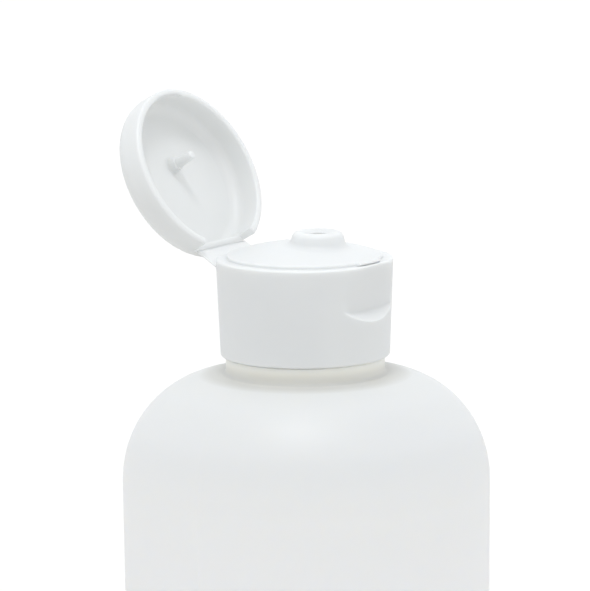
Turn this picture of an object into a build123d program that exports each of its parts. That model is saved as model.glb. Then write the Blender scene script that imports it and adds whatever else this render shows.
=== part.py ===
"""A round squeeze bottle with a screw-on flip-top closure, the lid standing open.

Millimetres, +Z up. The origin is on the bottle's axis, on the plane that it stands on.
The closure's thumb scoop faces +X and its hinge is at -X. The bottle, its foam washer and
the closure's base, strap and lid are separate pieces. The strap and the lid are drawn shut,
where they fit, and are then swung open about the strap's two folds.
"""
import os
from math import cos, radians, sin, sqrt

from build123d import *

# Bottle, blown in one piece
body_radius = 35.95
body_taper = 0.9
body_height = 128.0
shoulder_rise = 21.0
shoulder_root = 0.95
bottle_wall = 1.0
base_wall = 1.4
heel_radius = 5.0
standing_ring = 2.5
push_up = 2.6
weld_length = 34.0
weld_width = 0.8
weld_height = 0.35

# Screw neck, with the collar at its foot
finish_radius = 12.6
finish_wall = 1.85
lip_fillet = 0.5
collar_step = 2.9
collar_height = 3.2
collar_fillet = 0.9
collar_wall = 1.5

# Foam washer between the lip and the closure
washer_thickness = 1.2
washer_inset = 0.35
washer_overhang = 0.3
washer_clearance = 0.2

# Closure base, built outwards from the neck
cap_gap = 0.3
thread_room = 1.35
thread_skirt_wall = 0.95
groove_width = 0.6
shroud_wall = 1.0
cap_taper = 0.75
cap_height = 19.1
cap_foot_fillet = 0.5
rim_fillet = 0.4
thread_bore_drop = 2.8
shroud_roof = 4.0
ledge_width = 2.15
deck_step = 0.6
deck_rise = 2.5
deck_wall = 1.2
deck_land = 0.6
deck_land_width = 2.8

# Spout with its pouring hole
spout_offset = 3.2
spout_foot_radius = 5.7
spout_draft = 0.95
spout_gap = 0.8
spout_wall = 1.1
spout_fillet_share = 0.35
pour_radius = 1.7
dish_land = 0.35
dish_depth = 0.6

# Thumb scoop under the front of the lid
scoop_top_depth = 0.6
scoop_depth = 2.0
scoop_floor = 8.6
scoop_lip_height = 2.3
scoop_round = 12.4
scoop_solid_angle = 42.0

# Snap catch at the front of the deck
catch_width = 7.0
catch_reach = 0.9
catch_height = 0.3
catch_clearance = 0.25

# Strap that carries the lid
strap_width = 15.8
strap_length = 5.25
strap_thickness = 0.55
strap_drop = 2.2
strap_inset = 1.7
strap_clearance = 0.15

# Lid and its sealing pin
lid_height = 7.7
lid_wall = 1.4
lid_roof = 1.5
lid_crown_fillet = 4.3
lid_corner_fillet = 0.8
lid_rim_fillet = 0.25
lid_gap = 0.05
hinge_bar = 1.0
pin_clearance = 0.25
pin_foot_height = 1.75
pin_step = 0.35
pin_draft = 0.3
pin_length = 5.7

# How far the lid stands open, shared equally by the strap's two folds
open_angle = 118.4

# Radii that follow from the neck outwards
finish_bore_radius = finish_radius - finish_wall
collar_radius = finish_radius + collar_step
shoulder_radius = collar_radius + shoulder_root
washer_inner_radius = finish_bore_radius - washer_inset
washer_outer_radius = finish_radius + washer_overhang
washer_bore_radius = washer_outer_radius + washer_clearance
thread_bore_radius = finish_radius + thread_room
thread_skirt_radius = thread_bore_radius + thread_skirt_wall
cap_foot_radius = thread_skirt_radius + groove_width + shroud_wall
cap_radius = cap_foot_radius + cap_taper
deck_radius = cap_radius - ledge_width
lid_bore_radius = cap_radius - lid_wall
spout_top_radius = spout_foot_radius - spout_draft
pin_foot_radius = pour_radius - pin_clearance
pin_root_radius = pin_foot_radius - pin_step
pin_tip_radius = pin_root_radius - pin_draft

# Heights and places that follow from the sizes
neck_z = body_height + shoulder_rise
collar_top = neck_z + collar_height
cap_foot_z = collar_top + cap_gap
ledge_z = cap_foot_z + cap_height
deck_z = ledge_z + deck_step
seat_z = ledge_z - deck_land
lip_z = seat_z - washer_thickness
lid_top_z = ledge_z + lid_height
roof_z = lid_top_z - lid_roof
spout_root_z = deck_z + deck_rise / 2
spout_top_z = roof_z - spout_gap
spout_fillet = spout_fillet_share * (spout_top_z - deck_z - deck_rise)
dish_radius = spout_top_radius - spout_fillet - dish_land
scoop_lip = scoop_floor + scoop_lip_height
half_strap = strap_thickness / 2
strap_x = strap_inset - cap_radius
fold_low_z = ledge_z - strap_drop
fold_high_z = fold_low_z + strap_length
flat_x = strap_x + half_strap + strap_clearance
shelf_z = fold_low_z - half_strap - strap_clearance
bar_z = fold_high_z + half_strap + strap_clearance
strap_fold = Axis((strap_x, 0, fold_low_z), (0, -1, 0))
lid_fold = Axis((strap_x, 0, fold_high_z), (0, -1, 0))


def dome_height(at, radius, rise):
    """Height of a shallow round dome, of a given rim radius and rise, at a distance from its axis."""
    sphere = (radius**2 + rise**2) / (2 * rise)
    return sqrt(sphere**2 - at**2) - (sphere - rise)


def dome_arc(reach, radius, rise, base_z):
    """The dome's section as an arc, from its top on the axis out to a given reach."""
    ThreePointArc(
        (0, base_z + rise),
        (reach / 2, base_z + dome_height(reach / 2, radius, rise)),
        (reach, base_z + dome_height(reach, radius, rise)),
    )


def side_radius(drop):
    """Radius of the closure's tapered side at a depth below its ledge."""
    return cap_radius - (cap_radius - cap_foot_radius) * drop / cap_height


def ring_edges(builder, radius, height):
    """The round edges of a turned piece that lie at one radius and height."""
    rings = builder.edges().filter_by(GeomType.CIRCLE)
    at_radius = rings.filter_by(lambda edge: abs(edge.radius - radius) < 0.01)
    return at_radius.filter_by(lambda edge: abs(edge.arc_center.Z - height) < 0.01)


def turning_plane(x):
    """An upright plane through the axis at x, where a section's first ordinate is its radius."""
    return Plane(origin=(x, 0, 0), x_dir=(1, 0, 0), z_dir=(0, -1, 0))


os.makedirs("parts", exist_ok=True)

# The bottle is one thin turned wall with a pushed-up base and the weld that blowing leaves on it.
base_radius = body_radius - body_taper
shoulder_reach = body_radius - shoulder_radius
stand_outer = base_radius - heel_radius
stand_inner = stand_outer - standing_ring
collar_bore_radius = collar_radius - collar_wall
with BuildPart() as bottle:
    with BuildSketch(turning_plane(0)):
        with BuildLine():
            dome_arc(stand_inner, stand_inner, push_up, 0)
            Line((stand_inner, 0), (stand_outer, 0))
            CenterArc((stand_outer, heel_radius), heel_radius, -90, 90)
            Line((base_radius, heel_radius), (body_radius, body_height))
            EllipticalCenterArc((shoulder_radius, body_height), shoulder_reach, shoulder_rise, arc_size=90)
            Polyline(
                (shoulder_radius, neck_z),
                (collar_radius, neck_z),
                (collar_radius, collar_top),
                (finish_radius, collar_top),
                (finish_radius, lip_z),
                (finish_bore_radius, lip_z),
                (finish_bore_radius, collar_top - collar_wall),
                (collar_bore_radius, collar_top - collar_wall),
                (collar_bore_radius, neck_z - bottle_wall),
                (shoulder_radius, neck_z - bottle_wall),
            )
            EllipticalCenterArc(
                (shoulder_radius, body_height),
                shoulder_reach - bottle_wall,
                shoulder_rise - bottle_wall,
                arc_size=90,
            )
            Line((body_radius - bottle_wall, body_height), (base_radius - bottle_wall, heel_radius))
            EllipticalCenterArc(
                (stand_outer, heel_radius),
                heel_radius - bottle_wall,
                heel_radius - base_wall,
                start_angle=-90,
                arc_size=90,
            )
            Line((stand_outer, base_wall), (stand_inner, base_wall))
            dome_arc(stand_inner, stand_inner, push_up, base_wall)
            Line((0, base_wall + push_up), (0, push_up))
        make_face()
    revolve(axis=Axis.Z)
    fillet(ring_edges(bottle, collar_radius, neck_z), collar_fillet)
    fillet(ring_edges(bottle, collar_radius, collar_top), collar_fillet)
    fillet(ring_edges(bottle, collar_bore_radius, neck_z - bottle_wall), collar_fillet)
    fillet(ring_edges(bottle, finish_radius, lip_z), lip_fillet)
    fillet(ring_edges(bottle, finish_bore_radius, lip_z), lip_fillet)
    weld_end = weld_length / 2
    weld_end_z = dome_height(weld_end, stand_inner, push_up)
    with BuildSketch(Plane.YZ):
        with BuildLine():
            ThreePointArc(
                (-weld_end, weld_end_z - weld_height),
                (0, push_up - weld_height),
                (weld_end, weld_end_z - weld_height),
            )
            Polyline(
                (weld_end, weld_end_z - weld_height),
                (weld_end, weld_end_z + base_wall / 2),
                (0, push_up + base_wall / 2),
                (-weld_end, weld_end_z + base_wall / 2),
                (-weld_end, weld_end_z - weld_height),
            )
        make_face()
    extrude(amount=weld_width / 2, both=True)
bottle.part.label = "bottle"
export_step(bottle.part, "parts/bottle.step")

# The washer is a flat ring of foam that the closure presses on the bottle's lip.
with BuildPart() as sealing_washer:
    with BuildSketch(Plane.XY.offset(lip_z)):
        Circle(washer_outer_radius)
        Circle(washer_inner_radius, mode=Mode.SUBTRACT)
    extrude(amount=washer_thickness)
sealing_washer.part.label = "sealing_washer"
export_step(sealing_washer.part, "parts/sealing_washer.step")

# The hollow that the thumb scoop takes out: a leaning face and a cove, with a round lower edge.
scoop_top_x = cap_radius - scoop_top_depth
scoop_deep_x = side_radius(scoop_floor) - scoop_depth
with BuildPart() as scoop:
    with BuildSketch(Plane.XZ):
        with BuildLine():
            Polyline(
                (2 * cap_radius, ledge_z - scoop_lip),
                (2 * cap_radius, deck_z),
                (scoop_top_x, deck_z),
                (scoop_top_x, ledge_z),
                (scoop_deep_x, ledge_z - scoop_floor),
            )
            TangentArc(
                (scoop_deep_x, ledge_z - scoop_floor),
                (side_radius(scoop_lip), ledge_z - scoop_lip),
                tangent=(scoop_deep_x - scoop_top_x, -scoop_floor),
            )
            Line((side_radius(scoop_lip), ledge_z - scoop_lip), (2 * cap_radius, ledge_z - scoop_lip))
        make_face()
    extrude(amount=cap_radius, both=True)
    with BuildSketch(Plane.YZ):
        with Locations((0, ledge_z - scoop_lip + scoop_round)):
            Circle(scoop_round)
    extrude(amount=2 * cap_radius, mode=Mode.INTERSECT)

# The closure's base is a tapered shroud round a threaded skirt, under a domed deck with a spout.
under_rise = dome_height(0, deck_radius, deck_rise) - deck_wall
land_radius = washer_bore_radius - deck_land_width
groove_start = radians(scoop_solid_angle)
groove_plane = Plane(
    origin=(0, 0, 0),
    x_dir=(cos(groove_start), sin(groove_start), 0),
    z_dir=(sin(groove_start), -cos(groove_start), 0),
)
with BuildPart() as cap_base:
    with BuildSketch(turning_plane(0)):
        with BuildLine():
            Polyline(
                (thread_bore_radius, cap_foot_z),
                (cap_foot_radius, cap_foot_z),
                (cap_radius, ledge_z),
                (deck_radius, ledge_z),
                (deck_radius, deck_z),
            )
            dome_arc(deck_radius, deck_radius, deck_rise, deck_z)
            Line((0, deck_z + deck_rise), (0, deck_z + under_rise))
            dome_arc(land_radius, deck_radius, deck_rise, deck_z - deck_wall)
            Polyline(
                (land_radius, deck_z - deck_wall + dome_height(land_radius, deck_radius, deck_rise)),
                (land_radius, seat_z),
                (washer_bore_radius, seat_z),
                (washer_bore_radius, ledge_z - thread_bore_drop),
                (thread_bore_radius, ledge_z - thread_bore_drop),
                (thread_bore_radius, cap_foot_z),
            )
        make_face()
    revolve(axis=Axis.Z)
    with BuildSketch(turning_plane(spout_offset)):
        with BuildLine():
            Polyline(
                (0, spout_root_z),
                (spout_foot_radius, spout_root_z),
                (spout_top_radius, spout_top_z),
                (0, spout_top_z),
                close=True,
            )
        make_face()
    revolve(axis=Axis((spout_offset, 0, 0), (0, 0, 1)))
    spout_foot = cap_base.edges().filter_by(GeomType.BSPLINE).sort_by(Axis.Z)[-1]
    fillet(spout_foot, spout_fillet)
    fillet(ring_edges(cap_base, spout_top_radius, spout_top_z), spout_fillet)
    fillet(ring_edges(cap_base, cap_radius, ledge_z), rim_fillet)
    fillet(ring_edges(cap_base, cap_foot_radius, cap_foot_z), cap_foot_fillet)
    with BuildSketch(turning_plane(spout_offset)):
        with BuildLine():
            Polyline(
                (0, deck_z),
                (spout_foot_radius - spout_wall, deck_z),
                (spout_top_radius - spout_wall, spout_top_z - spout_wall),
                (pour_radius, spout_top_z - spout_wall),
                (pour_radius, spout_top_z - dish_depth),
                (dish_radius, spout_top_z),
                (dish_radius, spout_top_z + spout_wall),
                (0, spout_top_z + spout_wall),
                close=True,
            )
        make_face()
    revolve(axis=Axis((spout_offset, 0, 0), (0, 0, 1)), mode=Mode.SUBTRACT)
    with BuildSketch(groove_plane):
        with BuildLine():
            Polyline(
                (thread_skirt_radius, cap_foot_z),
                (thread_skirt_radius, ledge_z - shroud_roof),
                (side_radius(shroud_roof) - shroud_wall, ledge_z - shroud_roof),
                (cap_foot_radius - shroud_wall, cap_foot_z),
                close=True,
            )
        make_face()
    revolve(axis=Axis.Z, revolution_arc=360 - 2 * scoop_solid_angle, mode=Mode.SUBTRACT)
    add(scoop.part, mode=Mode.SUBTRACT)
    with BuildSketch(Plane.XY.offset(shelf_z)):
        with Locations((flat_x, 0)):
            Rectangle(cap_radius, 2 * cap_radius, align=(Align.MAX, Align.CENTER))
    extrude(amount=cap_height, mode=Mode.SUBTRACT)
    with BuildSketch(Plane.XY.offset(deck_z - catch_height)):
        Circle(deck_radius + catch_reach)
        with Locations((land_radius, 0)):
            Rectangle(cap_radius, catch_width, align=(Align.MIN, Align.CENTER), mode=Mode.INTERSECT)
    extrude(amount=catch_height)
cap_base.part.label = "cap_base"
export_step(cap_base.part, "parts/cap_base.step")

# The strap is a thin flat panel with round ends, and a fold runs along the middle of each end.
with BuildPart() as hinge_strap:
    with BuildSketch(Plane.XZ):
        with Locations((strap_x, (fold_low_z + fold_high_z) / 2)):
            SlotCenterToCenter(strap_length, strap_thickness, rotation=90)
    extrude(amount=strap_width / 2, both=True)
strap_at_rest = hinge_strap.part.rotate(strap_fold, open_angle / 2)
strap_at_rest.label = "hinge_strap"
export_step(strap_at_rest, "parts/hinge_strap.step")

# The lid is a shallow cup with a hinge bar at its back, a catch pocket in front and a sealing pin.
with BuildPart() as cap_lid:
    with BuildSketch(turning_plane(0)):
        with BuildLine():
            Polyline(
                (cap_radius, ledge_z + lid_gap),
                (cap_radius, lid_top_z),
                (0, lid_top_z),
                (0, roof_z),
                (lid_bore_radius, roof_z),
                (lid_bore_radius, ledge_z + lid_gap),
                close=True,
            )
        make_face()
    revolve(axis=Axis.Z)
    fillet(ring_edges(cap_lid, lid_bore_radius, roof_z), lid_corner_fillet)
    with BuildSketch(Plane.XY.offset(bar_z)):
        Circle(cap_radius - lid_wall / 2)
        with Locations((flat_x + hinge_bar, 0)):
            Rectangle(cap_radius, 2 * cap_radius, align=(Align.MAX, Align.CENTER), mode=Mode.INTERSECT)
    extrude(amount=roof_z + lid_roof / 2 - bar_z)
    fillet(ring_edges(cap_lid, cap_radius, lid_top_z), lid_crown_fillet)
    fillet(ring_edges(cap_lid, cap_radius, ledge_z + lid_gap), lid_rim_fillet)
    with BuildSketch(Plane.XY.offset(ledge_z)):
        with Locations((flat_x + 2 * hinge_bar, 0)):
            Rectangle(
                cap_radius, strap_width + 2 * strap_clearance, align=(Align.MAX, Align.CENTER))
    extrude(amount=bar_z - ledge_z, mode=Mode.SUBTRACT)
    with BuildSketch(turning_plane(spout_offset)):
        with BuildLine():
            Polyline(
                (0, roof_z + lid_roof / 2),
                (pin_foot_radius, roof_z + lid_roof / 2),
                (pin_foot_radius, roof_z - pin_foot_height),
                (pin_root_radius, roof_z - pin_foot_height),
                (pin_tip_radius, roof_z - pin_length),
                (0, roof_z - pin_length),
                close=True,
            )
        make_face()
    revolve(axis=Axis((spout_offset, 0, 0), (0, 0, 1)))
    fillet(ring_edges(cap_lid, pin_tip_radius, roof_z - pin_length), pin_tip_radius / 2)
    with BuildSketch(Plane.XY.offset(deck_z - catch_height - lid_gap)):
        Circle(deck_radius + catch_reach + catch_clearance)
        with Locations((land_radius, 0)):
            Rectangle(
                cap_radius,
                catch_width + 2 * catch_clearance,
                align=(Align.MIN, Align.CENTER),
                mode=Mode.INTERSECT,
            )
    extrude(amount=catch_height + lid_gap + catch_clearance, mode=Mode.SUBTRACT)
lid_at_rest = cap_lid.part.rotate(lid_fold, open_angle / 2).rotate(strap_fold, open_angle / 2)
lid_at_rest.label = "cap_lid"
export_step(lid_at_rest, "parts/cap_lid.step")
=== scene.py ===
import bpy
import numpy as np
from mathutils import Matrix, Vector


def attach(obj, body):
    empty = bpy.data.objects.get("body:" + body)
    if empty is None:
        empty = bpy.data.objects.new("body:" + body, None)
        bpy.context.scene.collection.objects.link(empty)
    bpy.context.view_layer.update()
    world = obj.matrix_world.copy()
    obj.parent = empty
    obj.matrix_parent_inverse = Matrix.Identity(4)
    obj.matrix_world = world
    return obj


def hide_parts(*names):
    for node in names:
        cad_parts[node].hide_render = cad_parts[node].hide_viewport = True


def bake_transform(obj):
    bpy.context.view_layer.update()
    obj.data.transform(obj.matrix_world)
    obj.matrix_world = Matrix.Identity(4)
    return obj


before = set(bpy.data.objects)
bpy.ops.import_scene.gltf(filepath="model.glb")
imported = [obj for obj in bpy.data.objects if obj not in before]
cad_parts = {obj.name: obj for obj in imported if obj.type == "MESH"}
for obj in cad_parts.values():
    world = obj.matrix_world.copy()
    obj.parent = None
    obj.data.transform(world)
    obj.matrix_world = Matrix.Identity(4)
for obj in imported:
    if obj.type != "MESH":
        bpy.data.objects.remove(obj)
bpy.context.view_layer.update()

# BOTTLE
# One hollow skin of natural, unpigmented polyethylene, milky and see-through to light only.
# A tube of soft plastic is blown out in a mould of two halves: that leaves a fine parting
# line up the sides, a pinch weld across the pushed-up base, and a moulded thread on the neck.
MM = 0.001
PITCH = 4.2333
crease_angle = np.radians(38)
stand_inner, stand_outer = 27.55, 30.05
push_up = 2.6
base_wall = 1.4
heel = 5.0
base_radius, body_radius = 35.05, 35.95
body_wall = 1.0
shoulder_root, shoulder_z, shoulder_rise = 16.45, 128.0, 21.0
neck_radius, neck_bore = 12.6, 10.75
neck_foot_z, lip_z = 152.7, 169.3
lip_round = 0.5
thread_half, thread_flank, thread_fade = 0.92, 0.55, 0.06
thread_height = 1.0
neck_thread_z = 160.4
neck_thread_turns = 1.5
parting_height, parting_width = 0.05, 0.22
weld_height, weld_half_width, weld_half_length = 0.35, 0.55, 17.4
box_room = 0.01


def smooth(x):
    """Eases from 0 to 1 as x does: three times its square less twice its cube, held at the ends."""
    x = np.clip(x, 0, 1)
    return x * x * (3 - 2 * x)


def arc(centre_r, centre_z, size_r, size_z, first, last, count):
    """An ellipse's arc: the centre plus each half-axis times the cosine or sine of even angles."""
    turn = np.radians(np.linspace(first, last, count))
    return np.stack([centre_r + size_r * np.cos(turn), centre_z + size_z * np.sin(turn)], -1)


def joined(*runs):
    """Runs of section points end to end, without the points that repeat."""
    points = np.concatenate([np.asarray(run, float) for run in runs])
    step = np.linalg.norm(np.diff(points, axis=0), axis=1)
    return points[np.concatenate([[True], step > 1e-6])]


def dome(radius, rim, rise):
    """Height of a shallow round dome: a sphere through its rim and top, less its centre's depth."""
    sphere = (rim**2 + rise**2) / (2 * rise)
    return np.sqrt(sphere**2 - np.minimum(radius, rim) ** 2) - sphere + rise


def thread(turn, z, start, turns):
    """A right-hand thread's height: a rounded ridge of the distance to the nearest lap, faded at
    both ends."""
    along = turn / (2 * np.pi)
    lap = np.round((z - start) / PITCH - along)
    off = np.abs(z - start - PITCH * (along + lap))
    ends = smooth((along + lap) / thread_fade) * smooth((turns - along - lap) / thread_fade)
    return thread_height * smooth((thread_half - off) / thread_flank) * ends


def skin(name, grid, poles):
    """A closed mesh of a grid of points. Columns close on themselves, and so do the rows if there
    are no poles; with poles the first and last rows are points, with a fan of triangles round
    each. The faces are turned outwards by the sign of the volume, the sum of each triangle's
    triple product."""
    index = np.arange(grid.shape[0] * grid.shape[1]).reshape(grid.shape[:2])
    if poles:
        index[0], index[-1] = index[0, 0], index[-1, 0]
    used, index = np.unique(index.ravel(), return_inverse=True)
    index = index.reshape(grid.shape[:2])
    points = grid.reshape(-1, 3)[used] * MM
    after = index[1:] if poles else np.roll(index, -1, axis=0)
    before = index[:-1] if poles else index
    quads = np.stack([before, np.roll(before, -1, 1), np.roll(after, -1, 1), after], -1)
    quads = quads.reshape(-1, 4)
    halves = np.concatenate([quads[:, [0, 1, 2]], quads[:, [0, 2, 3]]])
    a, b, c = points[halves[:, 0]], points[halves[:, 1]], points[halves[:, 2]]
    if np.einsum("ij,ij->", a, np.cross(b, c)) < 0:
        quads = quads[:, ::-1]
    distinct = (quads != np.roll(quads, 1, axis=1)).sum(1)
    fans = quads[distinct == 3]
    turned = np.argmax(fans == np.roll(fans, 1, axis=1), axis=1)
    fans = fans[np.arange(len(fans))[:, None], (turned[:, None] + np.arange(3)) % 4]
    mesh = bpy.data.meshes.new(name)
    mesh.from_pydata(points, [], quads[distinct == 4].tolist() + fans.tolist())
    mesh.shade_smooth()
    mesh.set_sharp_from_angle(angle=crease_angle)
    piece = bpy.data.objects.new(name, mesh)
    bpy.context.scene.collection.objects.link(piece)
    return piece


def parting(turn, radius):
    """The seam's ridge where the mould's halves meet, at a quarter turn each way: a bell curve of
    the distance from it."""
    away = radius * (np.abs(np.abs(turn - np.pi) - np.pi / 2))
    return parting_height * np.exp(-((away / parting_width) ** 2))


# The section runs from the middle of the base up the outside, over the lip and down the inside.
shoulder_reach = body_radius - shoulder_root
base_r = np.linspace(0, 27.0, 30)
inner_r = np.linspace(27.0, 0, 20)
outside = joined(
    np.stack([base_r, dome(base_r, stand_inner, push_up)], -1),
    np.linspace((27.6, 0.0), (stand_outer, 0.0), 5),
    arc(stand_outer, heel, heel, heel, -90, 0, 18),
    np.linspace((base_radius, heel), (body_radius, shoulder_z), 44),
    arc(shoulder_root, shoulder_z, shoulder_reach, shoulder_rise, 0, 90, 56),
    arc(16.4, 149.9, 0.9, 0.9, 270, 180, 9),
    arc(15.2, 152.1, 0.3, 0.3, 0, 90, 7),
    arc(neck_radius + 0.3, neck_foot_z, 0.3, 0.3, 270, 180, 5),
    np.linspace((neck_radius, neck_foot_z), (neck_radius, lip_z), 96),
    arc(neck_radius - lip_round, lip_z, lip_round, lip_round, 0, 90, 7),
)
inside = joined(
    arc(neck_bore + lip_round, lip_z, lip_round, lip_round, 90, 180, 7),
    np.linspace((neck_bore, lip_z), (neck_bore, 151.2), 10),
    arc(neck_bore + 0.5, 151.2, 0.5, 0.5, 180, 270, 5),
    arc(13.5, 150.2, 0.5, 0.5, 90, 0, 5),
    arc(14.9, 148.9, 0.9, 0.9, 180, 270, 7),
    arc(shoulder_root, shoulder_z,
        shoulder_reach - body_wall, shoulder_rise - body_wall, 90, 0, 48),
    np.linspace((body_radius - body_wall, shoulder_z), (base_radius - body_wall, heel), 30),
    arc(stand_outer, heel, heel - body_wall, heel - base_wall, 0, -90, 14),
    np.linspace((stand_outer, base_wall), (27.6, base_wall), 4),
    np.stack([inner_r, dome(inner_r, stand_inner, push_up) + base_wall], -1),
)
even_steps = np.linspace(0, 2 * np.pi, 192, endpoint=False)
seam_steps = np.array([-0.9, -0.5, -0.3, -0.15, 0, 0.15, 0.3, 0.5, 0.9]) / 36
turn = np.concatenate([even_steps, seam_steps + np.pi / 2, seam_steps + 1.5 * np.pi])
turn = np.unique(np.round(turn, 6))[None, :]
section = joined(outside, inside)
radius, height = section[:, :1], section[:, 1:]
row = np.arange(len(section))[:, None]
is_outside = row < len(outside)
on_side = is_outside & (height > 4) & (height < 149)
on_neck = is_outside & (height > neck_foot_z)
on_base = row < len(base_r)
radius = radius - on_side * (parting_height + box_room - parting(turn, radius))
radius = radius + on_neck * thread(turn, height, neck_thread_z, neck_thread_turns)
across, along = radius * np.cos(turn), radius * np.sin(turn)
weld_side = smooth((weld_half_width - np.abs(across)) / 0.3)
weld_end = smooth((weld_half_length - np.abs(along)) / 1.2)
grid = np.stack([across, along, height - on_base * weld_height * weld_side * weld_end], -1)
bottle = skin("blown_bottle", grid, True)


def group(name, wanted, given):
    """A node group with float inputs of the given defaults and outputs of the wanted types."""
    tree = bpy.data.node_groups.new(name, "ShaderNodeTree")
    for label, kind in wanted.items():
        tree.interface.new_socket(label, in_out="OUTPUT", socket_type=kind)
    for label, value in given.items():
        socket = tree.interface.new_socket(label, in_out="INPUT", socket_type="NodeSocketFloat")
        socket.default_value = value
    return tree, tree.nodes.new("NodeGroupInput"), tree.nodes.new("NodeGroupOutput")


def node(tree, kind, values=None, **settings):
    """A node with its settings and its inputs' values: a socket is linked, a number is set."""
    made = tree.nodes.new(kind)
    for label, value in settings.items():
        setattr(made, label, value)
    for label, value in (values or {}).items():
        if isinstance(value, bpy.types.NodeSocket):
            tree.links.new(value, made.inputs[label])
        else:
            made.inputs[label].default_value = value
    return made


def moulded_skin():
    """A moulded plastic's surface: broad clouds, a fine grain and streaks that run up the piece,
    all noise on the object's own coordinates, and the normal of the grain and streaks together."""
    tree, given, out = group(
        "moulded_skin",
        {"Clouds": "NodeSocketFloat", "Grain": "NodeSocketFloat", "Normal": "NodeSocketVector"},
        {"Cloud scale": 60.0, "Grain scale": 3500.0, "Streak share": 0.3, "Depth": 0.000004},
    )
    place = node(tree, "ShaderNodeTexCoord").outputs["Object"]
    clouds = node(
        tree, "ShaderNodeTexNoise",
        {"Vector": place, "Scale": given.outputs["Cloud scale"], "Detail": 3.0})
    grain = node(
        tree, "ShaderNodeTexNoise",
        {"Vector": place, "Scale": given.outputs["Grain scale"], "Detail": 2.0})
    drawn = node(tree, "ShaderNodeMapping", {"Vector": place, "Scale": (1.0, 1.0, 0.02)})
    streaks = node(
        tree, "ShaderNodeTexNoise", {"Vector": drawn.outputs[0], "Scale": 420.0, "Detail": 2.0})
    relief = node(
        tree, "ShaderNodeMix",
        {"Factor": given.outputs["Streak share"], "A": grain.outputs["Fac"],
         "B": streaks.outputs["Fac"]})
    bump = node(
        tree, "ShaderNodeBump",
        {"Height": relief.outputs[0], "Distance": given.outputs["Depth"], "Strength": 1.0})
    tree.links.new(clouds.outputs["Fac"], out.inputs["Clouds"])
    tree.links.new(grain.outputs["Fac"], out.inputs["Grain"])
    tree.links.new(bump.outputs["Normal"], out.inputs["Normal"])
    return tree


moulded = moulded_skin()


def plastic(name, skin_values, tones, roughness, constants):
    """A moulded plastic: two tones mixed by the clouds, a roughness range driven by the grain, and
    the skin's normal. What is the same all over is set on the shader itself."""
    material = bpy.data.materials.new(name)
    material.use_nodes = True
    tree = material.node_tree
    shader = tree.nodes["Principled BSDF"]
    surface = node(tree, "ShaderNodeGroup", node_tree=moulded)
    for label, value in skin_values.items():
        surface.inputs[label].default_value = value
    colour = node(
        tree, "ShaderNodeMix",
        {"Factor": surface.outputs["Clouds"], "A": (*tones[0], 1.0), "B": (*tones[1], 1.0)},
        data_type="RGBA")
    satin = node(
        tree, "ShaderNodeMapRange",
        {"Value": surface.outputs["Grain"], "To Min": roughness[0], "To Max": roughness[1]})
    tree.links.new(colour.outputs["Result"], shader.inputs["Base Color"])
    tree.links.new(satin.outputs["Result"], shader.inputs["Roughness"])
    tree.links.new(surface.outputs["Normal"], shader.inputs["Normal"])
    for label, value in constants.items():
        shader.inputs[label].default_value = value
    return material


def thick_wall_and_painted_shade(material, levels):
    """The tone by height, partly the warmer tone of thicker plastic and partly painted shade: the
    colour times a ramp of the height above the base, each level being a height in metres and the
    share of red, green and blue left there."""
    tree = material.node_tree
    shader = tree.nodes["Principled BSDF"]
    colour = shader.inputs["Base Color"].links[0].from_socket
    place = node(tree, "ShaderNodeTexCoord").outputs["Object"]
    height = node(tree, "ShaderNodeSeparateXYZ", {0: place})
    bottom, top = levels[0][0], levels[-1][0]
    share = node(
        tree, "ShaderNodeMapRange",
        {"Value": height.outputs["Z"], "From Min": bottom, "From Max": top})
    ramp = node(tree, "ShaderNodeValToRGB", {"Fac": share.outputs["Result"]})
    ramp.color_ramp.interpolation = "EASE"
    stops = ramp.color_ramp.elements
    for _ in levels[2:]:
        stops.new(0.5)
    for stop, (z, tone) in zip(stops, levels):
        stop.position = (z - bottom) / (top - bottom)
        stop.color = (*tone, 1.0)
    tinted = node(
        tree, "ShaderNodeMix", {"Factor": 1.0, "A": colour, "B": ramp.outputs["Color"]},
        data_type="RGBA", blend_type="MULTIPLY")
    tree.links.new(tinted.outputs["Result"], shader.inputs["Base Color"])


natural_polyethylene = plastic(
    "natural_polyethylene",
    {"Cloud scale": 24.0, "Grain scale": 2600.0, "Streak share": 0.45, "Depth": 0.000012},
    ((0.965, 0.965, 0.965), (0.99, 0.98, 0.95)),
    (0.4, 0.52),
    {"IOR": 1.54, "Subsurface Weight": 1.0, "Subsurface Radius": (1.0, 0.95, 0.86),
     "Subsurface Scale": 0.0006},
)
# Painted shade by height: the bottle darkens up the shoulder where the closure keeps the overhead
# lamp off, and a narrow dark band at the collar's foot is a painted shadow of the closure. The warm
# neck is the tone of its thicker wall.
thick_wall_and_painted_shade(natural_polyethylene, [
    (0.095, (1.0, 1.0, 1.0)),
    (0.125, (0.94, 0.945, 0.95)),
    (0.138, (0.82, 0.83, 0.845)),
    (0.1455, (0.785, 0.795, 0.805)),
    (0.1484, (0.775, 0.785, 0.79)),
    (0.1489, (0.66, 0.66, 0.645)),
    (0.1498, (0.79, 0.785, 0.75)),
    (0.152, (0.975, 0.96, 0.905)),
])
bottle.data.materials.append(natural_polyethylene)
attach(bottle, "bottle")
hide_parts("bottle")

# SEALING WASHER
# A flat ring cut from white polyethylene foam, pressed between the bottle's lip and the closure.
# It is never seen in use, so the solid's own ring stays, with the open cells of a cut foam.
foam = plastic(
    "cut_foam",
    {"Cloud scale": 900.0, "Grain scale": 2200.0, "Streak share": 0.0, "Depth": 0.00012},
    ((0.80, 0.80, 0.79), (0.93, 0.93, 0.92)),
    (0.75, 0.95),
    {"IOR": 1.3},
)
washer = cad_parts["sealing_washer"]
washer.data.materials.clear()
washer.data.materials.append(foam)

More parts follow.
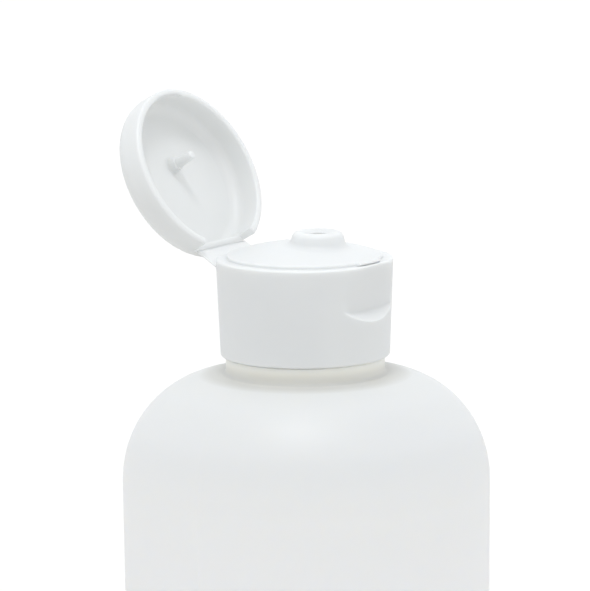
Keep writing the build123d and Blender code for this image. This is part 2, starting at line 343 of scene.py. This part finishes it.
# CLOSURE BASE
# White polypropylene, injection moulded: a tapered shroud round a threaded skirt, under a domed
# deck. The deck carries the pouring spout and a snap catch, the front is scooped out for a thumb,
# and the back is planed flat, with a shelf where the lid's strap starts.
foot_z, ledge_z = 152.5, 171.6
cap_radius, cap_taper, cap_height = 17.25, 0.75, 19.1
deck_z, deck_radius, deck_rise, deck_wall = 172.2, 15.1, 2.5, 1.2
spout_x, spout_top_z, spout_top_radius, spout_slope = 3.2, 177.0, 4.75, 0.2676
foot_above, foot_beyond = 1.0, 1.7
pour_radius = 1.7
catch_reach, catch_half_width = 0.9, 3.6
scoop_top_x, scoop_lean = 16.65, 0.202
scoop_lip_x, scoop_lip_z, scoop_slope = 16.8, 160.7, 1.2
scoop_corner, scoop_lip_round = 0.22, 40.0
flat_x, shelf_z = -15.125, 168.975
thread_bore, bore_thread_turns = 13.95, 1.6
groove_half_angle, groove_roof_z = np.radians(42.0), 167.6
crisp, uncut = 0.05, 60.0


def side(z):
    """Radius of the closure's tapered side: it narrows evenly from the ledge to the foot."""
    return cap_radius - cap_taper * (ledge_z - z) / cap_height


def deck(x, y):
    """Height of the deck: a shallow dome of the distance from the closure's axis."""
    return deck_z + dome(np.hypot(x, y), deck_radius, deck_rise)


def kept_below(value, limit, blunt):
    """Value held under a limit with a rounded corner: the limit less a softplus of what is left
    below it. A trace of what is cut away stays, so that rows never fall on each other."""
    short = (limit - value) / blunt
    return limit - blunt * np.logaddexp(0, short) + 0.003 * np.maximum(value - limit, 0)


def scooped(x, z, sag):
    """Front of the closure cut back by the thumb scoop: the further out of a leaning plane and a
    sloping floor, joined by a softplus. The floor rises to the sides by the sag. The lip is crisp,
    and the sides of the plane are soft."""
    level = z - sag
    plane = scoop_top_x - scoop_lean * (ledge_z - z)
    floor_x = scoop_lip_x - scoop_slope * (level - scoop_lip_z)
    limit = plane + scoop_corner * np.logaddexp(0, (floor_x - plane) / scoop_corner)
    limit = np.where(level > scoop_lip_z + 0.01, limit, uncut)
    return kept_below(x, limit, crisp + 0.3 * smooth((level - 161.6) / 3.0))


def planed(x, z):
    """Back of the closure planed flat above the shelf, to make room for the strap."""
    limit = np.where(z > shelf_z, -flat_x, uncut)
    return -kept_below(-x, limit, crisp)


def spread(*stretches):
    """Angles of the columns: each stretch is a first and last angle, in degrees, and a count."""
    turn = np.concatenate(
        [np.linspace(first, last, count, endpoint=False) for first, last, count in stretches])
    return np.radians(np.unique(np.round(turn, 5)))


turn = spread(
    (-38, 38, 96), (38, 41.8, 4), (41.8, 42.2, 4), (42.2, 150, 70), (150, 210, 48),
    (210, 317.8, 70), (317.8, 318.2, 4), (318.2, 322, 4))
c, s = np.cos(turn), np.sin(turn)


def round_axis(points, x=0.0):
    """Rows of a section turned round an upright axis at x: each radius times the cosine and sine of
    the turn."""
    points = np.asarray(points, float)
    r, z = points[:, :1], points[:, 1:]
    return np.stack([x + r * c, r * s, z + 0 * c], -1)


def between(first, last, count, lift):
    """Rows drawn straight from one ring to another, both left out, at heights that lift gives."""
    share = np.linspace(0, 1, count + 2)[1:-1, None, None]
    rows = first[None] * (1 - share) + last[None] * share
    rows[..., 2] = lift(rows[..., 0], rows[..., 1])
    return rows


# The spout's rows, from the pouring hole out and down to the round where it meets the deck. The
# radius of its foot depends on the deck's height there, and is found by putting one in the other.
spout_rows = round_axis(joined(
    np.linspace((pour_radius, 176.0), (pour_radius, 176.25), 3),
    arc(pour_radius + 0.25, 176.25, 0.25, 0.25, 180, 107, 6),
    np.linspace((2.0, 176.51), (3.3, 176.92), 6),
    arc(3.752, 175.7, 1.3, 1.3, 107, 15, 18),
), spout_x)
foot_r = np.full_like(turn, 5.5)
for _ in range(8):
    foot_level = deck(spout_x + foot_r * c, foot_r * s)
    foot_r = spout_top_radius + spout_slope * (spout_top_z - foot_level)
foot_level = deck(spout_x + foot_r * c, foot_r * s)
high_r, low_r = foot_r - spout_slope, foot_r + foot_beyond
high = np.stack([spout_x + high_r * c, high_r * s, foot_level + foot_above], -1)
corner = np.stack([spout_x + foot_r * c, foot_r * s, foot_level], -1)
low = np.stack([spout_x + low_r * c, low_r * s, deck(spout_x + low_r * c, low_r * s)], -1)
bend = np.linspace(0, 1, 12)[:, None, None]
foot_rows = (1 - bend) ** 2 * high + 2 * bend * (1 - bend) * corner + bend**2 * low

# The deck runs out to its edge, which drops a step to the ledge and carries the catch in front.
edge = round_axis([(14.8, 172.28)])[0]
deck_rows = between(low, edge, 16, deck)
catch = catch_reach * smooth((catch_half_width - np.abs(deck_radius * s)) / 0.25) * (c > 0)
step = np.array([
    (14.85, 172.275), (15.0, 172.22), (15.08, 172.13), (15.1, 172.0), (15.1, 171.92),
    (15.1, 171.86), (15.1, 171.75), (15.14, 171.65), (15.25, ledge_z)])
jut = np.array([0.0, 0.75, 0.97, 1.0, 0.98, 0.9, 0.8, 0.7, 0.62])[:, None]
step_r = step[:, :1] + jut * catch
step_rows = np.stack([step_r * c, step_r * s, step[:, 1:] + 0 * c], -1)

# The ledge, the rounded rim and the side, with the scoop and the flat cut out of them. Rows near
# the scoop's lip rise to the sides with it.
side_z = np.concatenate([
    np.linspace(171.1, 169.05, 12), [168.99, 168.96], np.linspace(168.9, 163.2, 34),
    np.linspace(163.1, 161.2, 22), np.linspace(161.15, 160.6, 18), np.linspace(160.4, 153.1, 16),
])
wall = joined(
    np.linspace((15.4, ledge_z), (16.8, ledge_z), 7),
    arc(16.84, 171.2, 0.4, 0.4, 90, 8, 8),
    np.stack([side(side_z), side_z], -1),
    arc(16.02, 153.0, 0.5, 0.5, 0, -90, 7),
)
front_y = np.where(c > 0, np.abs(16.9 * s), 20.0)
sag = scoop_lip_round - np.sqrt(scoop_lip_round**2 - np.minimum(front_y, 8.5) ** 2)
sag = sag * smooth((13.0 - front_y) / 4.5)
raised = sag * np.interp(wall[:, 1:], [153.1, 160.2, 163.2, 171.0], [0, 1, 1, 0])
wall_z = wall[:, 1:] + raised
wall_r = wall[:, :1] + side(wall_z) - side(wall[:, 1:])
wall_x = planed(scooped(wall_r * c, wall_z, sag), wall_z)
wall_rows = np.stack([wall_x, wall_r * s, wall_z], -1)

# Underneath, a groove parts the shroud from the threaded skirt, except behind the scoop.
apart = np.abs((turn + np.pi) % (2 * np.pi) - np.pi)
depth = smooth((apart - groove_half_angle) / 0.006)
climb = np.linspace(0, 1, 8)[:, None]
up_r = 15.5 + climb * (16.09 - 15.5)
up_z = foot_z + climb * (groove_roof_z - foot_z)
groove_r = np.concatenate([up_r, np.linspace(15.9, 15.1, 4)[:, None], np.full((8, 1), 14.9)])
groove_z = np.concatenate([up_z, np.full((4, 1), groove_roof_z), up_z[::-1]])
solid_r = np.linspace(15.6, 14.8, len(groove_r))[:, None]
mixed_r = solid_r + (groove_r - solid_r) * depth
mixed_z = foot_z + (groove_z - foot_z) * depth
groove_rows = np.stack([mixed_r * c, mixed_r * s, mixed_z], -1)

# Inside the skirt are the thread, the washer's seat and the hollow under the deck and spout.
bore = joined(
    arc(thread_bore + 0.25, 152.75, 0.25, 0.25, 270, 180, 4),
    np.linspace((thread_bore, 152.9), (thread_bore, 168.7), 64),
    [(13.9, 168.8), (13.2, 168.8), (13.1, 168.9), (13.1, 170.9), (13.0, 171.0), (12.0, 171.0),
     (10.4, 171.0), (10.3, 171.1), (10.3, 172.2)],
)
in_bore = bore[:, :1] > thread_bore - 0.01
ridge = thread(turn, bore[:, 1:], neck_thread_z - PITCH / 2, bore_thread_turns)
bore_r = bore[:, :1] - ridge * in_bore
bore_rows = np.stack([bore_r * c, bore_r * s, bore[:, 1:] + 0 * c], -1)
land = round_axis([(10.1, 172.4)])[0]
mouth = round_axis([(4.5, 173.0)], spout_x)[0]
under_rows = between(land, mouth, 8, lambda x, y: deck(x, y) - deck_wall)
hollow_rows = round_axis(joined(
    np.linspace((4.32, 173.5), (3.75, 175.5), 6),
    arc(3.4, 175.6, 0.3, 0.3, 0, 90, 4),
    [(2.6, 175.9), (1.8, 175.9)],
), spout_x)
grid = np.concatenate([
    spout_rows, foot_rows, deck_rows, step_rows, wall_rows, groove_rows, bore_rows, under_rows,
    hollow_rows])
cap = skin("closure_base", grid, False)


def polypropylene(name, low, high, scatter):
    """White polypropylene between a low and a high tone, a trace cooler than grey. Scatter is how
    far light runs inside it, in metres."""
    return plastic(
        name,
        {"Cloud scale": 70.0, "Grain scale": 5200.0, "Streak share": 0.12, "Depth": 0.000006},
        ((low, low + 0.01, low + 0.01), (high, high + 0.01, high + 0.01)),
        (0.36, 0.5),
        {"IOR": 1.49, "Subsurface Weight": 1.0, "Subsurface Radius": (1.0, 0.97, 0.92),
         "Subsurface Scale": scatter},
    )


white_polypropylene = polypropylene("white_polypropylene", 0.785, 0.825, 0.0012)
cap.data.materials.append(white_polypropylene)
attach(cap, "cap")
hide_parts("cap_base")

# HINGE STRAP
# A flat panel of the same moulding, thick enough to stay straight, with a thin film at each end
# where it folds. The panel is drawn shut and swung open with the lid; each film bends at its fold.
strap_x = -15.55
fold_low_z, fold_high_z = 169.4, 174.65
half_open = np.radians(59.2)
film_half, panel_more = 0.15, 0.125
fold_reach = 0.3


def swung(points, fold_z, angle):
    """Points turned about a fold that runs across the closure: a plain rotation in the upright X
    and Z plane."""
    x, z = points[..., 0] - strap_x, points[..., 2] - fold_z
    turned_x = strap_x + x * np.cos(angle) - z * np.sin(angle)
    turned_z = fold_z + x * np.sin(angle) + z * np.cos(angle)
    return np.stack([turned_x, points[..., 1], turned_z], -1)


def slab(low_z, high_z, half_width, thickness, count):
    """A panel on edge with rounded sides: a rounded oblong section at each height, its first and
    last rows drawn in to a point. Thickness gives the half thickness at a height."""
    turn = np.linspace(0, 2 * np.pi, 48, endpoint=False)
    level = np.concatenate([[low_z] * 2, np.linspace(low_z, high_z, count), [high_z] * 2])[:, None]
    shrink = np.concatenate([[0.0, 0.6], np.ones(count), [0.6, 0.0]])[:, None]
    half = thickness(level) * shrink
    inset_half = half_width - 0.75 * (1 - shrink)
    x = strap_x + half * np.sign(np.cos(turn)) * np.abs(np.cos(turn)) ** 0.4
    y = inset_half * np.sign(np.sin(turn)) * np.abs(np.sin(turn)) ** 0.12
    y = np.where(shrink > 0, y, 0)
    return np.stack([x, y, level + 0 * turn], -1)


def panel_half(z):
    """Half thickness of the strap: full along the middle, thinned to a film towards each fold."""
    near = np.minimum(z - fold_low_z, fold_high_z - z)
    return film_half + panel_more * smooth((near + 0.1) / 0.7)


panel = slab(fold_low_z + 0.1, fold_high_z - 0.1, 7.9, panel_half, 30)
strap = skin("strap_panel", swung(panel, fold_low_z, half_open), True)
strap.data.materials.append(white_polypropylene)
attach(strap, "strap")
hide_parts("hinge_strap")


def film(fold_z, below, above):
    """A thin fold drawn flat and bent at rest: each height is turned by its eased share of the
    fold's angle."""
    flat = slab(fold_z - below, fold_z + above, 7.85, lambda z: film_half + 0 * z, 24)
    share = smooth((flat[..., 2] - fold_z + fold_reach) / (2 * fold_reach))
    return swung(flat, fold_z, half_open * share)


low_fold = skin("low_fold", film(fold_low_z, 0.43, 0.5), True)
low_fold.data.materials.append(white_polypropylene)
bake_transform(low_fold)

high_film = swung(film(fold_high_z, 0.5, 0.44), fold_low_z, half_open)
high_fold = skin("high_fold", high_film, True)
high_fold.data.materials.append(white_polypropylene)
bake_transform(high_fold)

# LID
# A shallow cup of the same moulding, with a round crown. Inside it are the pin that stops the
# spout, a pocket for the catch, and a thick bar along the back, over the notch for the strap.
lid_radius, lid_bore = 17.245, 15.85
lid_top_z, lid_roof_z, lid_rim_z = 179.295, 177.8, 171.65
crown_z, crown_round = 175.0, 4.295
inner_corner_z, inner_corner_round = 175.6, 2.2
lip_rise = 0.33
pin_foot_radius = 1.45
pocket_depth, pocket_half_width = 0.4, 3.75
bar_x, bar_z = -14.125, 175.075
notch = np.radians(28.5)

turn = spread(
    (-60, 60, 64), (60, 151.4, 54), (151.4, 151.6, 4), (151.6, 208.4, 44), (208.4, 208.6, 4),
    (208.6, 300, 54))
c, s = np.cos(turn), np.sin(turn)
in_notch = smooth((notch - np.abs((turn % (2 * np.pi)) - np.pi)) / 0.003 + 0.5)
on_lip = 1 - in_notch
rim_z = lid_rim_z + (bar_z - lid_rim_z) * in_notch


def barred(rows):
    """The back of the lid's hollow held off by the hinge bar, above the notch."""
    limit = np.where(rows[..., 2] > bar_z - 0.02, -bar_x, uncut)
    rows[..., 0] = -kept_below(-rows[..., 0], limit, 0.06)
    return rows


# The rows start at the pin's tip, run over the roof and down the inside, and go round the lip, up
# the outside and over the crown.
pin_rows = round_axis(joined(
    [(0.0, 172.1), (0.2, 172.1)],
    arc(0.42, 172.5, 0.4, 0.4, -90, -4, 8),
    np.linspace((0.84, 172.6), (1.08, 175.85), 10),
    arc(1.23, 175.9, 0.15, 0.15, 180, 90, 4),
    arc(1.31, 176.19, 0.14, 0.14, -90, 0, 4),
    np.linspace((pin_foot_radius, 176.3), (pin_foot_radius, 177.5), 5),
    arc(pin_foot_radius + 0.3, 177.5, 0.3, 0.3, 180, 90, 5),
), spout_x)
pin_edge = round_axis([(1.8, lid_roof_z)], spout_x)[0]
roof_edge = round_axis([(13.6, lid_roof_z)])[0]
roof_rows = barred(between(pin_edge, roof_edge, 24, lambda x, y: lid_roof_z + 0 * x))
corner_rows = barred(round_axis(arc(
    lid_bore - inner_corner_round, inner_corner_z,
    inner_corner_round, inner_corner_round, 90, 0, 14)))
drop = np.linspace(0.02, 1, 26)[:, None]
pocket = pocket_depth * smooth((pocket_half_width - np.abs(lid_bore * s)) / 0.2) * (c > 0)
inner_z = inner_corner_z * (1 - drop) + (rim_z + 0.3 * on_lip) * drop
inner_r = lid_bore + pocket * smooth((172.5 - inner_z) / 0.1)
inner_rows = barred(np.stack([inner_r * c, inner_r * s, inner_z], -1))
lip = np.array([
    (15.93, 0.12), (16.1, 0.02), (16.3, 0.0), (16.7, 0.0), (16.95, 0.04), (17.13, 0.15),
    (17.24, lip_rise)])
lip_rows = np.stack([lip[:, :1] * c, lip[:, :1] * s, rim_z + lip[:, 1:] * on_lip], -1)
lip_rows[:2] = barred(lip_rows[:2])
rise = np.linspace(0, 1, 16)[1:, None]
outer_z = (rim_z + lip_rise * on_lip) * (1 - rise) + np.maximum(crown_z, rim_z + 0.02) * rise
outer_rows = np.stack([lid_radius * c + 0 * outer_z, lid_radius * s + 0 * outer_z, outer_z], -1)
crown_rows = round_axis(joined(
    arc(lid_radius - crown_round, crown_z, crown_round, crown_round, 3, 90, 24),
    np.linspace((12.0, lid_top_z), (0.0, lid_top_z), 10),
))
grid = np.concatenate(
    [pin_rows, roof_rows, corner_rows, inner_rows, lip_rows, outer_rows, crown_rows])
grid = swung(swung(grid, fold_high_z, half_open), fold_low_z, half_open)
lid = skin("flip_lid", grid, True)
# The lid's walls are thin, so light from behind comes through them and its scatter runs further.
# Its tone is set below the closure's, partly to offset that scatter and partly as painted shade on
# its outer wall.
lid.data.materials.append(polypropylene("shaded_thin_polypropylene", 0.72, 0.76, 0.0030))
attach(lid, "lid")
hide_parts("cap_lid")

# FLOOR
# A plain pale sheet under the bottle that fades out before its edge, so that no edge is seen.
half_sheet = 0.5
floor_mesh = bpy.data.meshes.new("floor")
floor_mesh.from_pydata(
    [(-half_sheet, -half_sheet, 0), (half_sheet, -half_sheet, 0), (half_sheet, half_sheet, 0),
     (-half_sheet, half_sheet, 0)], [], [(0, 1, 2, 3)])
floor = bpy.data.objects.new("floor", floor_mesh)
bpy.context.scene.collection.objects.link(floor)
sheet = bpy.data.materials.new("pale_sheet")
sheet.use_nodes = True
tree = sheet.node_tree
place = node(tree, "ShaderNodeTexCoord").outputs["Object"]
away = node(tree, "ShaderNodeVectorMath", {0: place}, operation="LENGTH")
fade = node(
    tree, "ShaderNodeMapRange",
    {"Value": away.outputs["Value"], "From Min": 0.06, "From Max": 0.24, "To Min": 1.0,
     "To Max": 0.0},
    interpolation_type="SMOOTHSTEP")
shader = tree.nodes["Principled BSDF"]
shader.inputs["Base Color"].default_value = (0.8, 0.8, 0.8, 1.0)
shader.inputs["Roughness"].default_value = 0.8
tree.links.new(fade.outputs["Result"], shader.inputs["Alpha"])
floor.data.materials.append(sheet)

# LIGHT
# A white room that is brighter above than below and behind than in front, and one soft lamp
# overhead, a little to the front. The camera sees the room as plain white.
world = bpy.data.worlds.new("white_room")
bpy.context.scene.world = world
world.use_nodes = True
tree = world.node_tree
tree.nodes.clear()
direction = node(tree, "ShaderNodeTexCoord").outputs["Generated"]
upward = node(tree, "ShaderNodeSeparateXYZ", {0: direction})
level = node(
    tree, "ShaderNodeMapRange",
    {"Value": upward.outputs["Z"], "From Min": -0.5, "From Max": 0.1, "To Min": 0.0, "To Max": 1.0})
below, above = (0.71, 0.70, 0.68, 1.0), (0.835, 0.855, 0.87, 1.0)
room = node(
    tree, "ShaderNodeMix", {"Factor": level.outputs["Result"], "A": below, "B": above},
    data_type="RGBA")
backward = node(
    tree, "ShaderNodeVectorMath", {0: direction, 1: (-0.35, 0.93, 0.0)}, operation="DOT_PRODUCT")
backdrop = node(
    tree, "ShaderNodeMapRange",
    {"Value": backward.outputs["Value"], "From Min": -0.8, "From Max": 0.9, "To Min": 1.03,
     "To Max": 1.15})
ambient = node(
    tree, "ShaderNodeBackground",
    {"Color": room.outputs["Result"], "Strength": backdrop.outputs["Result"]})
seen = node(tree, "ShaderNodeBackground", {"Color": (1.0, 1.0, 1.0, 1.0), "Strength": 1.05})
looked_at = node(tree, "ShaderNodeLightPath").outputs["Is Camera Ray"]
blend = node(tree, "ShaderNodeMixShader", {0: looked_at, 1: ambient.outputs[0], 2: seen.outputs[0]})
node(tree, "ShaderNodeOutputWorld", {"Surface": blend.outputs[0]})

lamp_place, lamp_aim = Vector((0.12, -0.26, 1.15)), Vector((0, 0, 0.17))
lamp_data = bpy.data.lights.new("overhead_lamp", "AREA")
lamp_data.shape = "DISK"
lamp_data.size = 0.3
lamp_data.energy = 2.6
lamp_data.color = (0.98, 0.99, 1.0)
lamp = bpy.data.objects.new("overhead_lamp", lamp_data)
bpy.context.scene.collection.objects.link(lamp)
lamp.location = lamp_place
lamp.rotation_euler = (lamp_place - lamp_aim).to_track_quat("Z", "Y").to_euler()
bpy.context.scene.view_settings.view_transform = "Standard"

# CAMERA
# A long lens a metre away, level with the photographer's eye: it looks down a little, past the
# thumb scoop, with the closure's ledge a little above and to the right of the picture's middle.
picture = np.array([590.0, 591.0])
azimuth, pitch, roll = np.radians([35.5, 9.5, 0.5])
focal = 5150.0
sensor = 36.0
ledge_pixel = np.array([304.5, 257.3])
distance = 1.0
flat_reach = np.cos(pitch)
toward = np.array([np.sin(azimuth) * flat_reach, -np.cos(azimuth) * flat_reach, np.sin(pitch)])
level_right = np.array([np.cos(azimuth), np.sin(azimuth), 0.0])
level_up = np.cross(toward, level_right)
right = np.cos(roll) * level_right - np.sin(roll) * level_up
up = np.sin(roll) * level_right + np.cos(roll) * level_up
offset = (ledge_pixel - picture / 2) * distance / focal
place = np.array([0, 0, ledge_z * MM]) + distance * toward - offset[0] * right + offset[1] * up
camera_data = bpy.data.cameras.new("camera")
camera_data.sensor_fit = "HORIZONTAL"
camera_data.sensor_width = sensor
camera_data.lens = focal / picture[0] * sensor
camera_data.clip_end = 20.0
camera = bpy.data.objects.new("camera", camera_data)
bpy.context.scene.collection.objects.link(camera)
turned = np.eye(4)
turned[:3, 0], turned[:3, 1], turned[:3, 2], turned[:3, 3] = right, up, toward, place
camera.matrix_world = Matrix(turned.tolist())
bpy.context.scene.camera = camera
